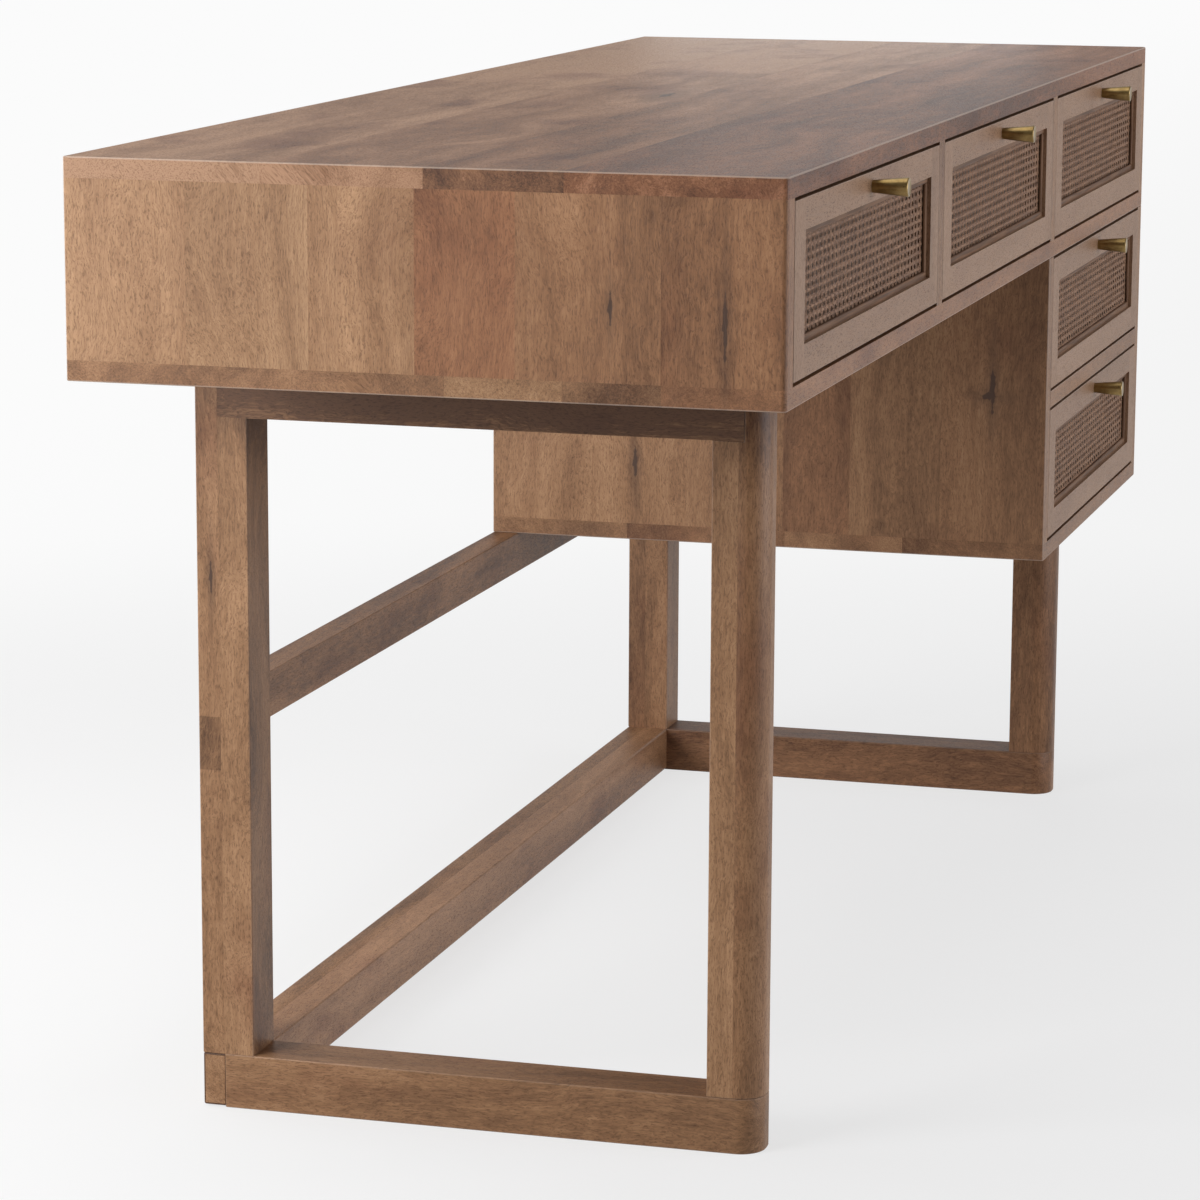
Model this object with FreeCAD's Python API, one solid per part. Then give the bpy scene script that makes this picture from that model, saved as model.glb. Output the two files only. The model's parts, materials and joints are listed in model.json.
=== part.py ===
import FreeCAD
import Part
import math
import os

# Writing desk with a drawer pedestal, millimetres.
# +X runs to the right for someone facing the drawers, the drawers open towards -Y, +Z is up.
# The origin is on the floor under the middle of the whole desk, knobs included.

# Overall size
desk_width = 1524.0
desk_depth = 520.0
desk_height = 762.0

# Boards of the case
slab = 15.0             # top, case bottom, shelf and pedestal bottom
side_board = 19.0       # end panels, dividers and pedestal sides
back_board = 12.0
corner_radius = 4.0     # rounded front corners of the case
top_space = 128.0       # height of the three upper drawer spaces
stack_space = 122.0     # height of the two pedestal drawer spaces

# Leg frames
leg_x = 46.0
leg_y = 42.0
leg_round = 20.0        # rounded front edges of front legs and bottom rails
bottom_rail_height = 43.5
left_top_rail_height = 59.0
right_top_rail_height = 46.0
left_overhang = 245.0   # from the left end of the case to the left frame
front_setback = 72.0    # from the front of the case to the front legs
lap = 18.0              # tongue that passes a rail's end
tenon_length = 20.0
tenon_width_x = 16.0
tenon_width_y = 18.0

# Stretchers
lower_stretcher_height = 42.5
upper_stretcher_depth = 24.0
upper_stretcher_height = 37.0
upper_tenon = 12.0
tenon_shoulder = 6.0

# Bolts that hold the frames
bolt_radius = 3.0
bolt_head_radius = 6.0
bolt_head_height = 5.0
bolt_bite = 10.0        # thread length in the board above the rail
bolt_clearance = 0.5
counterbore_depth = 24.0
bolt_margin = 90.0      # from the rail's end to the bolt

# Drawer fronts
front_board = 19.0
gap_side = 1.5
gap_edge = 2.5          # above and below a front
stile = 30.0
front_top_rail = 22.0
front_bottom_rail = 23.0
cane_recess = 5.0
cane_sheet = 2.0
cane_groove = 7.0       # how far the cane reaches into the frame
spline_width = 5.0      # strips that hold the cane's edge in the frame
spline_height = 2.0
spline_round = 1.2
front_tenon_length = 14.0
front_tenon_thickness = 6.0
front_tenon_shoulder = 5.0

# Drawer boxes
box_board = 12.0
box_bottom = 6.0
box_back_gap = 49.0     # from the box to the back panel
box_lift = 12.0         # from the drawer space's floor to the box
box_headroom = 22.0     # from the top of the drawer space to the box
groove_depth = 5.0
groove_lift = 8.0

# Slides
slide_space = 12.7      # between a case side and a box side
slide_sheet = 1.5
slide_height = 36.0
slide_flange = 10.0
slide_clearance = 0.5
channel_start = 25.0    # behind the case front
channel_back_gap = 63.0     # from the channel to the back panel
rail_back_gap = 28.0    # from the rail to the box's back

# Knobs
knob_reach = 27.0
knob_base_radius = 4.6
knob_end_radius = 7.2
knob_rim = 1.2
screw_radius = 2.0
screw_head_radius = 3.5
screw_head_height = 2.5
screw_bite = 14.0
screw_clearance = 0.2

# Places worked out from the sizes
left_x = -desk_width / 2
right_x = desk_width / 2
front_y = -(desk_depth - knob_reach) / 2
back_y = front_y + desk_depth
top_under = desk_height - slab
case_floor = top_under - top_space
case_under = case_floor - slab
shelf_top = case_under - stack_space
shelf_under = shelf_top - slab
stack_floor = shelf_under - stack_space
stack_under = stack_floor - slab
drawer_space = (desk_width - 4 * side_board) / 3
divider_x = left_x + side_board + drawer_space
pedestal_x = divider_x + side_board + drawer_space
panel_back_y = back_y - back_board
box_front_y = front_y + front_board
box_back_y = panel_back_y - box_back_gap
channel_y = front_y + channel_start
channel_length = panel_back_y - channel_back_gap - channel_y
rail_y = box_front_y + box_board
rail_length = box_back_y - rail_back_gap - rail_y
left_frame_x = left_x + left_overhang
right_frame_x = right_x - leg_x
leg_front_y = front_y + front_setback
same_place = 1e-6       # points this close count as one
vertical = FreeCAD.Vector(0, 0, 1)
depthwise = FreeCAD.Vector(0, 1, 0)
crosswise = FreeCAD.Vector(1, 0, 0)

parts = {}


def board(x0, x1, y0, y1, z0, z1):
    corner = FreeCAD.Vector(x0, y0, z0)
    return Part.makeBox(x1 - x0, y1 - y0, z1 - z0, corner)


def round_uprights(shape, radius, corners):
    # Round the upright edges that stand at the given (x, y) corners.
    chosen = []
    for edge in shape.Edges:
        start = edge.Vertexes[0].Point
        end = edge.Vertexes[-1].Point
        upright = abs(start.x - end.x) + abs(start.y - end.y) < same_place
        for x, y in corners:
            if upright and abs(start.x - x) + abs(start.y - y) < same_place:
                chosen.append(edge)
    return shape.makeFillet(radius, chosen)


def cylinder(x, y, z, radius, length, direction):
    return Part.makeCylinder(radius, length, FreeCAD.Vector(x, y, z), direction)


# Case and pedestal boards

def case_boards():
    left_corner = (left_x, front_y)
    right_corner = (right_x, front_y)
    both = [left_corner, right_corner]
    top = board(left_x, right_x, front_y, back_y, top_under, desk_height)
    bottom = board(left_x, right_x, front_y, back_y, case_under, case_floor)
    left_end = board(left_x, left_x + side_board, front_y, back_y, case_floor, top_under)
    right_end = board(right_x - side_board, right_x, front_y, back_y, case_floor, top_under)
    parts["top_board"] = round_uprights(top, corner_radius, both)
    parts["case_bottom"] = round_uprights(bottom, corner_radius, both)
    parts["left_end_panel"] = round_uprights(left_end, corner_radius, [left_corner])
    parts["right_end_panel"] = round_uprights(right_end, corner_radius, [right_corner])
    for name, x in (("drawer_divider", divider_x), ("pedestal_divider", pedestal_x)):
        parts[name] = board(x, x + side_board, front_y, panel_back_y, case_floor, top_under)
    parts["case_back"] = board(left_x + side_board, right_x - side_board, panel_back_y, back_y,
                               case_floor, top_under)


def pedestal_boards():
    right_corner = (right_x, front_y)
    inner_left = pedestal_x + side_board
    inner_right = right_x - side_board
    bottom = board(pedestal_x, right_x, front_y, back_y, stack_under, stack_floor)
    right_side = board(inner_right, right_x, front_y, back_y, stack_floor, case_under)
    parts["pedestal_bottom"] = round_uprights(bottom, corner_radius, [right_corner])
    parts["pedestal_right_side"] = round_uprights(right_side, corner_radius, [right_corner])
    parts["pedestal_left_side"] = board(pedestal_x, inner_left, front_y, back_y, stack_floor, case_under)
    parts["pedestal_shelf"] = board(inner_left, inner_right, front_y, panel_back_y, shelf_under, shelf_top)
    parts["pedestal_back"] = board(inner_left, inner_right, panel_back_y, back_y, stack_floor, case_under)


# Leg frames and stretchers

def tenon(x, y, z0, z1):
    # A square tenon centred on a leg's axis.
    half_x = tenon_width_x / 2
    half_y = tenon_width_y / 2
    return board(x - half_x, x + half_x, y - half_y, y + half_y, z0, z1)


def leg_frame(name, x, frame_top, top_rail_height):
    far_x = x + leg_x
    middle_x = x + leg_x / 2
    rail_under = frame_top - top_rail_height
    front_leg_back = leg_front_y + leg_y
    back_leg_front = back_y - leg_y
    front_corners = [(x, leg_front_y), (far_x, leg_front_y)]
    front_tenon = tenon(middle_x, leg_front_y + leg_y / 2, bottom_rail_height - tenon_length,
                        bottom_rail_height)
    back_tenon = tenon(middle_x, back_leg_front + (leg_y - lap) / 2, bottom_rail_height - tenon_length,
                       bottom_rail_height)

    # The bottom rail runs through under both legs and stops where the stretcher's tongue passes it.
    bottom_rail = board(x, far_x, leg_front_y, back_y - lap, 0, bottom_rail_height)
    bottom_rail = round_uprights(bottom_rail, leg_round, front_corners)
    parts[name + "_bottom_rail"] = bottom_rail.cut(front_tenon).cut(back_tenon)

    # Each leg stands on the bottom rail, and its outer tongue passes the top rail's end.
    front_leg = board(x, far_x, leg_front_y, front_leg_back, bottom_rail_height, frame_top)
    front_leg = round_uprights(front_leg, leg_round, front_corners)
    front_seat = board(x, far_x, leg_front_y + lap, front_leg_back, rail_under, frame_top)
    parts[name + "_front_leg"] = front_leg.cut(front_seat).fuse(front_tenon).removeSplitter()
    back_leg = board(x, far_x, back_leg_front, back_y, bottom_rail_height, frame_top)
    back_seat = board(x, far_x, back_leg_front, back_y - lap, rail_under, frame_top)
    parts[name + "_back_leg"] = back_leg.cut(back_seat).fuse(back_tenon).removeSplitter()
    parts[name + "_top_rail"] = board(x, far_x, leg_front_y + lap, back_y - lap, rail_under, frame_top)


def lower_stretcher():
    # It butts against both bottom rails, and its tongues pass behind them to the frames' outer faces.
    low = bottom_rail_height - lower_stretcher_height
    beam = board(left_frame_x + leg_x, right_frame_x, back_y - leg_y, back_y, low, bottom_rail_height)
    tongues = board(left_frame_x, right_x, back_y - lap, back_y, low, bottom_rail_height)
    parts["lower_stretcher"] = beam.fuse(tongues).removeSplitter()


def upper_stretcher():
    # It is tenoned into both back legs, and its top carries the back of the pedestal.
    low = stack_under - upper_stretcher_height
    near = back_y - upper_stretcher_depth
    start = left_frame_x + leg_x
    beam = board(start, right_frame_x, near, back_y, low, stack_under)
    ends = board(start - upper_tenon, right_frame_x + upper_tenon, near + tenon_shoulder,
                 back_y - tenon_shoulder, low + tenon_shoulder, stack_under - tenon_shoulder)
    parts["upper_stretcher"] = beam.fuse(ends).removeSplitter()
    for name in ("left_back_leg", "right_back_leg", "right_top_rail"):
        parts[name] = parts[name].cut(ends)


def frame_bolts():
    bolts = []
    frames = (("left", left_frame_x, case_under, left_top_rail_height, "case_bottom"),
              ("right", right_frame_x, stack_under, right_top_rail_height, "pedestal_bottom"))
    for name, x, frame_top, rail_height, carried in frames:
        rail = name + "_top_rail"
        middle_x = x + leg_x / 2
        under = frame_top - rail_height
        seat = under + counterbore_depth
        for y in (leg_front_y + bolt_margin, back_y - bolt_margin):
            length = frame_top + bolt_bite - seat
            shank = cylinder(middle_x, y, seat, bolt_radius, length, vertical)
            head = cylinder(middle_x, y, seat - bolt_head_height, bolt_head_radius, bolt_head_height, vertical)
            bolts.append(shank.fuse(head).removeSplitter())
            counterbore = cylinder(middle_x, y, under, bolt_head_radius + bolt_clearance,
                                   counterbore_depth, vertical)
            bore = cylinder(middle_x, y, seat, bolt_radius + bolt_clearance, length, vertical)
            parts[rail] = parts[rail].cut(counterbore).cut(bore)
            parts[carried] = parts[carried].cut(bore)
    parts["frame_bolts"] = Part.makeCompound(bolts)


# Drawers

def front_rail(x0, x1, z0, z1, groove_z0, groove_z1):
    # A rail of a drawer front with stub tenons and a groove for the cane.
    rail = board(x0, x1, front_y, front_y + front_board, z0, z1)
    groove_y = front_y + cane_recess
    tenon_y = groove_y + cane_sheet
    tenons = board(x0 - front_tenon_length, x1 + front_tenon_length, tenon_y,
                   tenon_y + front_tenon_thickness, z0 + front_tenon_shoulder, z1 - front_tenon_shoulder)
    groove = board(x0, x1, groove_y, groove_y + cane_sheet, groove_z0, groove_z1)
    return rail.fuse(tenons).removeSplitter().cut(groove)


def spline_strip(start, inward, run):
    # A strip on the cane's face with its inner front edge rounded. start is its outer back corner.
    towards_room = depthwise * -spline_height
    shoulder = start + towards_room + inward * (spline_width - spline_round)
    lip = start + inward * spline_width + towards_room + depthwise * spline_round
    centre = shoulder + depthwise * spline_round
    bend = centre + (inward - depthwise) * (spline_round * math.sqrt(0.5))
    outline = Part.Wire([
        Part.LineSegment(start, start + towards_room).toShape(),
        Part.LineSegment(start + towards_room, shoulder).toShape(),
        Part.Arc(shoulder, bend, lip).toShape(),
        Part.LineSegment(lip, start + inward * spline_width).toShape(),
        Part.LineSegment(start + inward * spline_width, start).toShape(),
    ])
    return Part.Face(outline).extrude(run)


def cane_splines(x0, x1, cane_y, z0, z1):
    # Four strips round the window: the long ones run through, the short ones stand between them.
    across = crosswise * (x1 - x0)
    up = vertical * (z1 - z0 - 2 * spline_width)
    low = z0 + spline_width
    return [
        spline_strip(FreeCAD.Vector(x0, cane_y, z0), vertical, across),
        spline_strip(FreeCAD.Vector(x0, cane_y, z1), vertical * -1, across),
        spline_strip(FreeCAD.Vector(x0, cane_y, low), crosswise, up),
        spline_strip(FreeCAD.Vector(x1, cane_y, low), crosswise * -1, up),
    ]


def drawer_front(name, x0, x1, z0, z1):
    # Two stiles and two rails hold the recessed cane sheet and its splines. Returns the knob's place.
    window_x0 = x0 + stile
    window_x1 = x1 - stile
    window_z0 = z0 + front_bottom_rail
    window_z1 = z1 - front_top_rail
    cane_y = front_y + cane_recess
    cane = board(window_x0 - cane_groove, window_x1 + cane_groove, cane_y, cane_y + cane_sheet,
                 window_z0 - cane_groove, window_z1 + cane_groove)
    bottom_rail = front_rail(window_x0, window_x1, z0, window_z0, window_z0 - cane_groove, window_z0)
    top_rail = front_rail(window_x0, window_x1, window_z1, z1, window_z1, window_z1 + cane_groove)
    knob_x = (x0 + x1) / 2
    knob_z = z1 - front_top_rail / 2
    screw_hole = cylinder(knob_x, front_y, knob_z, screw_radius + screw_clearance, front_board, depthwise)
    top_rail = top_rail.cut(screw_hole)
    left_stile = board(x0, window_x0, front_y, front_y + front_board, z0, z1)
    right_stile = board(window_x1, x1, front_y, front_y + front_board, z0, z1)
    stiles = []
    for piece in (left_stile, right_stile):
        stiles.append(piece.cut(bottom_rail).cut(top_rail).cut(cane))
    parts[name + "_front_frame"] = Part.makeCompound([bottom_rail, top_rail] + stiles)
    splines = cane_splines(window_x0, window_x1, cane_y, window_z0, window_z1)
    parts[name + "_cane"] = Part.makeCompound([cane] + splines)
    return knob_x, knob_z


def drawer_knob(name, x, z):
    # A cone that widens away from the drawer, turned about its own axis, with a screw from behind.
    end_y = front_y - knob_reach
    rim_y = end_y + knob_rim
    corner = FreeCAD.Vector(x + knob_end_radius, rim_y, z)
    rim = FreeCAD.Vector(x + knob_end_radius - knob_rim, end_y, z)
    slant = knob_rim * (1 - math.sqrt(0.5))
    rim_middle = FreeCAD.Vector(corner.x - slant, end_y + slant, z)
    base = FreeCAD.Vector(x + knob_base_radius, front_y, z)
    centre_front = FreeCAD.Vector(x, end_y, z)
    centre_back = FreeCAD.Vector(x, front_y, z)
    outline = Part.Wire([
        Part.LineSegment(centre_back, base).toShape(),
        Part.LineSegment(base, corner).toShape(),
        Part.Arc(corner, rim_middle, rim).toShape(),
        Part.LineSegment(rim, centre_front).toShape(),
        Part.LineSegment(centre_front, centre_back).toShape(),
    ])
    body = Part.Face(outline).revolve(centre_back, depthwise, 360)
    bite_y = front_y - screw_bite
    behind_y = front_y + front_board
    bore = cylinder(x, bite_y, z, screw_radius + screw_clearance, screw_bite, depthwise)
    shank = cylinder(x, bite_y, z, screw_radius, behind_y - bite_y, depthwise)
    head = cylinder(x, behind_y, z, screw_head_radius, screw_head_height, depthwise)
    parts[name + "_knob"] = Part.makeCompound([body.cut(bore), shank.fuse(head).removeSplitter()])


def drawer_box(name, x0, x1, z0, z1):
    # Two sides and two ends round a bottom that is held in their grooves.
    y0 = box_front_y
    y1 = box_back_y
    inner_x0 = x0 + box_board
    inner_x1 = x1 - box_board
    inner_y0 = y0 + box_board
    inner_y1 = y1 - box_board
    low = z0 + groove_lift
    bottom = board(inner_x0 - groove_depth, inner_x1 + groove_depth, inner_y0 - groove_depth,
                   inner_y1 + groove_depth, low, low + box_bottom)
    left = board(x0, inner_x0, y0, y1, z0, z1)
    right = board(inner_x1, x1, y0, y1, z0, z1)
    front = board(inner_x0, inner_x1, y0, inner_y0, z0, z1)
    back = board(inner_x0, inner_x1, inner_y1, y1, z0, z1)
    parts[name + "_sides"] = Part.makeCompound([left.cut(bottom), right.cut(bottom)])
    parts[name + "_ends"] = Part.makeCompound([front.cut(bottom), back.cut(bottom)])
    parts[name + "_bottom"] = bottom


def slide_profile(wall_x, towards, height, flange, middle_z, y0, length):
    # A C section of sheet whose web lies on wall_x and whose flanges point along towards, +1 or -1.
    web_x = wall_x + towards * slide_sheet
    tip_x = wall_x + towards * flange
    outer = board(min(wall_x, tip_x), max(wall_x, tip_x), y0, y0 + length,
                  middle_z - height / 2, middle_z + height / 2)
    inner = board(min(web_x, tip_x), max(web_x, tip_x), y0, y0 + length,
                  middle_z - height / 2 + slide_sheet, middle_z + height / 2 - slide_sheet)
    return outer.cut(inner)


def drawer_slides(name, x0, x1, middle_z, channels):
    # Channels on the case take the rails of the box, which run inside them.
    rail_height = slide_height - 2 * slide_sheet - 2 * slide_clearance
    rail_flange = slide_space - slide_sheet - slide_clearance
    rails = []
    for wall_x, towards in ((x0, 1), (x1, -1)):
        channels.append(slide_profile(wall_x, towards, slide_height, slide_flange, middle_z,
                                      channel_y, channel_length))
        rails.append(slide_profile(wall_x + towards * slide_space, -towards, rail_height, rail_flange,
                                   middle_z, rail_y, rail_length))
    parts[name + "_slide_rails"] = Part.makeCompound(rails)


def drawers():
    left_space = left_x + side_board
    middle_space = divider_x + side_board
    right_space = pedestal_x + side_board
    spaces = (("left_drawer", left_space, case_floor, top_space),
              ("middle_drawer", middle_space, case_floor, top_space),
              ("right_drawer", right_space, case_floor, top_space),
              ("upper_stack_drawer", right_space, shelf_top, stack_space),
              ("lower_stack_drawer", right_space, stack_floor, stack_space))
    channels = []
    for name, x0, floor_z, height in spaces:
        x1 = x0 + drawer_space
        ceiling_z = floor_z + height
        knob_x, knob_z = drawer_front(name, x0 + gap_side, x1 - gap_side, floor_z + gap_edge,
                                      ceiling_z - gap_edge)
        drawer_knob(name, knob_x, knob_z)
        box_z0 = floor_z + box_lift
        box_z1 = ceiling_z - box_headroom
        drawer_box(name, x0 + slide_space, x1 - slide_space, box_z0, box_z1)
        drawer_slides(name, x0, x1, (box_z0 + box_z1) / 2, channels)
    parts["slide_channels"] = Part.makeCompound(channels)


case_boards()
pedestal_boards()
leg_frame("left", left_frame_x, case_under, left_top_rail_height)
leg_frame("right", right_frame_x, stack_under, right_top_rail_height)
lower_stretcher()
upper_stretcher()
frame_bolts()
drawers()

os.makedirs("parts", exist_ok=True)
for node, shape in parts.items():
    shape.exportStep(os.path.join("parts", node + ".step"))
print(len(parts), "nodes,", sum(len(shape.Solids) for shape in parts.values()), "solids")
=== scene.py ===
import bmesh
import bpy
import json
import math
import random
from mathutils import Matrix, Vector


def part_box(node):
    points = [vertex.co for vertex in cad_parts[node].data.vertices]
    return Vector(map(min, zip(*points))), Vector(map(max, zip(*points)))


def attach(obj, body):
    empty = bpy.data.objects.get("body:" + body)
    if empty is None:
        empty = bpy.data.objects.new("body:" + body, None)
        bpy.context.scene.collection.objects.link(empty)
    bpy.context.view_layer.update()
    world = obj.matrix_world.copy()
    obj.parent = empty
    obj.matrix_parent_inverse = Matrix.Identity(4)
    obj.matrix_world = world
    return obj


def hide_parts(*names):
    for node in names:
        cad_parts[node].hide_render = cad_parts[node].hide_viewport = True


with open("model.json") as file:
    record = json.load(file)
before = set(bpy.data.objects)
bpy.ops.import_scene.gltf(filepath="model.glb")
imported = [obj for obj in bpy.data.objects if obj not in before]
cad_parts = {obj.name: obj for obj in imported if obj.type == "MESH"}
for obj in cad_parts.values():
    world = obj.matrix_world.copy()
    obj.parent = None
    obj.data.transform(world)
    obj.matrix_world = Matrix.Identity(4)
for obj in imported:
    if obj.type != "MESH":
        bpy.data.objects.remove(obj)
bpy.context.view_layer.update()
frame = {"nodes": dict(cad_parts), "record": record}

scene = bpy.context.scene
scene.view_settings.view_transform = "Standard"
dice = random.Random(7)
drawers = ["left_drawer", "middle_drawer", "right_drawer", "upper_stack_drawer", "lower_stack_drawer"]
mm = 0.001
white = (1.0, 1.0, 1.0, 1.0)


# small helpers for shader nodes

def setInputs(tree, node, inputs):
    # a socket is linked, any other value is set
    for key, value in inputs.items():
        if isinstance(value, bpy.types.NodeSocket):
            tree.links.new(value, node.inputs[key])
        else:
            node.inputs[key].default_value = value


def addNode(tree, kind, inputs=None, **settings):
    made = tree.nodes.new(kind)
    for key, value in settings.items():
        setattr(made, key, value)
    setInputs(tree, made, inputs or {})
    return made


def maths(tree, operation, first, second=0.0, third=0.0, clamp=False):
    made = addNode(tree, "ShaderNodeMath", {0: first, 1: second, 2: third}, operation=operation, use_clamp=clamp)
    return made.outputs[0]


def vectorMaths(tree, operation, first, second=(0.0, 0.0, 0.0)):
    made = addNode(tree, "ShaderNodeVectorMath", {0: first, 1: second}, operation=operation)
    return made.outputs["Value" if operation == "LENGTH" else "Vector"]


def noise(tree, vector, stretch, detail=2.0, roughness=0.5):
    # stretch: waves per metre along each axis
    stretched = vectorMaths(tree, "MULTIPLY", vector, stretch)
    made = addNode(tree, "ShaderNodeTexNoise", {"Vector": stretched, "Scale": 1.0, "Detail": detail,
                                                "Roughness": roughness})
    return made.outputs["Fac"]


def centred(tree, value):
    # noise swings about one half, this about zero
    return maths(tree, "SUBTRACT", value, 0.5)


def ramp(tree, value, low, high, toLow=0.0, toHigh=1.0, smooth=True):
    made = addNode(tree, "ShaderNodeMapRange", {"Value": value, "From Min": low, "From Max": high,
                                                "To Min": toLow, "To Max": toHigh})
    made.interpolation_type = "SMOOTHSTEP" if smooth else "LINEAR"
    return made.outputs[0]


def blendColour(tree, fac, first, second, mode="MIX"):
    # the Mix node's colours are its inputs 6 and 7 and its output 2
    made = addNode(tree, "ShaderNodeMix", {0: fac, 6: first, 7: second}, data_type="RGBA", blend_type=mode)
    return made.outputs[2]


def bumpOf(tree, height, strength, depth):
    return addNode(tree, "ShaderNodeBump", {"Height": height, "Strength": strength, "Distance": depth}).outputs[0]


def coordinates(tree, kind):
    return addNode(tree, "ShaderNodeTexCoord").outputs[kind]


def split(tree, vector):
    return addNode(tree, "ShaderNodeSeparateXYZ", {0: vector}).outputs


def newGroup(name, inputs, outputs):
    group = bpy.data.node_groups.new(name, "ShaderNodeTree")
    for inOut, sockets in (("INPUT", inputs), ("OUTPUT", outputs)):
        for label, kind in sockets.items():
            group.interface.new_socket(name=label, in_out=inOut, socket_type="NodeSocket" + kind)
    return group, group.nodes.new("NodeGroupInput").outputs, group.nodes.new("NodeGroupOutput")


def useGroup(tree, group, inputs):
    return addNode(tree, "ShaderNodeGroup", inputs, node_tree=group).outputs


def newMaterial(name):
    material = bpy.data.materials.new(name)
    material.use_nodes = True
    tree = material.node_tree
    return material, tree, tree.nodes["Principled BSDF"]


# the grain of stained hardwood: streaks, smoky clouds, pores and pale eased edges, partly wear and partly painted
# highlight
grainLook = {
    "slowWaves": (4.5, 10.0, 10.0),
    "swing": {"plain": 0.03, "figured": 0.1},   # how far the slow waves bend the streaks
    "ripples": ({"stretch": (24.0, 34.0, 34.0), "reach": 0.007},
                {"stretch": (95.0, 110.0, 110.0), "reach": 0.0036}),
    # broad bands down to fine threads, each with its share of the lightness
    "bands": ({"stretch": (0.9, 12.0, 12.0), "detail": 1.0, "share": 0.4},
              {"stretch": (2.4, 34.0, 34.0), "detail": 3.0, "share": 0.75},
              {"stretch": (60.0, 140.0, 140.0), "detail": 2.0, "share": 0.24},
              {"stretch": (50.0, 620.0, 620.0), "detail": 2.0, "share": 0.52}),
    "bandRoughness": 0.55,
    "redTint": (1.0, 0.78, 0.72, 1.0),
    "smoke": {"stretch": (8.0, 13.0, 13.0), "from": 0.52, "to": 0.78, "most": 0.75, "tint": (0.68, 0.59, 0.57, 1.0)},
    "pores": {"stretch": (200.0, 1150.0, 1150.0), "roughness": 0.7, "from": 0.49, "to": 0.66, "share": 0.8,
              "tint": (0.52, 0.48, 0.46, 1.0)},
    # pale colour of the eased edges: partly wear, partly painted highlight
    "wornAndHighlit": {"share": 0.9, "colour": (0.60, 0.48, 0.40, 1.0)},
    "roughness": {"base": 0.38, "threads": 0.14, "pores": 0.1},
    "height": {"threads": 0.5, "pores": -0.7},
    "bump": {"strength": 0.35, "depth": 0.0002},
    "specular": 0.3,
}
# knots: a ragged dark core in a fainter halo, both measured in the knot's reach
knotLook = {
    "stretch": (120.0, 120.0, 120.0),
    "raggedness": 1.6,
    "core": {"rim": 1.0, "full": 0.55, "share": 0.95},
    "halo": {"rim": 3.5, "full": 0.5, "share": 0.35},
    "colour": (0.060, 0.031, 0.020, 1.0),
}


def makeWoodGroup():
    group, given, end = newGroup(
        "hardwoodGrain",
        {"Grain": "Vector", "Lightness": "Float", "Redness": "Float", "Figure": "Float", "Contrast": "Float",
         "WornAndHighlit": "Float", "Dark": "Color", "Middle": "Color", "Light": "Color"},
        {"Color": "Color", "Roughness": "Float", "Height": "Float"})
    grain, contrast = given["Grain"], given["Contrast"]
    # slow waves bend the streaks, more so in figured wood, and ripples fray them
    swing = maths(group, "MULTIPLY_ADD", given["Figure"], grainLook["swing"]["figured"], grainLook["swing"]["plain"])
    slow = noise(group, grain, grainLook["slowWaves"], detail=1.0)
    bend = maths(group, "MULTIPLY", centred(group, slow), swing)
    for ripple in grainLook["ripples"]:
        wave = noise(group, grain, ripple["stretch"], detail=1.0)
        bend = maths(group, "MULTIPLY_ADD", centred(group, wave), ripple["reach"], bend)
    shift = addNode(group, "ShaderNodeCombineXYZ", {"Y": bend, "Z": bend}).outputs[0]
    bent = vectorMaths(group, "ADD", grain, shift)
    # a value of 0 is the dark colour, 0.5 the middle one and 1 the light one
    value = maths(group, "ADD", given["Lightness"], 0.5)
    for band in grainLook["bands"]:
        threads = noise(group, bent, band["stretch"], band["detail"], grainLook["bandRoughness"])
        swell = maths(group, "MULTIPLY", centred(group, threads), band["share"])
        value = maths(group, "MULTIPLY_ADD", swell, contrast, value)
    colour = blendColour(group, ramp(group, value, 0.0, 0.5, smooth=False), given["Dark"], given["Middle"])
    colour = blendColour(group, ramp(group, value, 0.5, 1.0, smooth=False), colour, given["Light"])
    colour = blendColour(group, given["Redness"], colour, grainLook["redTint"], "MULTIPLY")
    smoke = grainLook["smoke"]
    clouds = noise(group, bent, smoke["stretch"], detail=3.0)
    clouds = ramp(group, clouds, smoke["from"], smoke["to"], 0.0, smoke["most"])
    colour = blendColour(group, maths(group, "MULTIPLY", clouds, contrast), colour, smoke["tint"], "MULTIPLY")
    # short dark pores along the grain
    pore = grainLook["pores"]
    pores = noise(group, bent, pore["stretch"], roughness=pore["roughness"])
    pores = ramp(group, pores, pore["from"], pore["to"])
    colour = blendColour(group, maths(group, "MULTIPLY", pores, pore["share"]), colour, pore["tint"], "MULTIPLY")
    # eased edges turn paler: partly wear, partly painted highlight
    wornAndHighlit = maths(group, "MULTIPLY", given["WornAndHighlit"], grainLook["wornAndHighlit"]["share"])
    colour = blendColour(group, wornAndHighlit, colour, grainLook["wornAndHighlit"]["colour"])
    dull, raised = grainLook["roughness"], grainLook["height"]
    rough = maths(group, "MULTIPLY_ADD", threads, dull["threads"], dull["base"])
    rough = maths(group, "MULTIPLY_ADD", pores, dull["pores"], rough)
    height = maths(group, "MULTIPLY", threads, raised["threads"])
    height = maths(group, "MULTIPLY_ADD", pores, raised["pores"], height)
    setInputs(group, end, {"Color": colour, "Roughness": rough, "Height": height})
    return group


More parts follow.
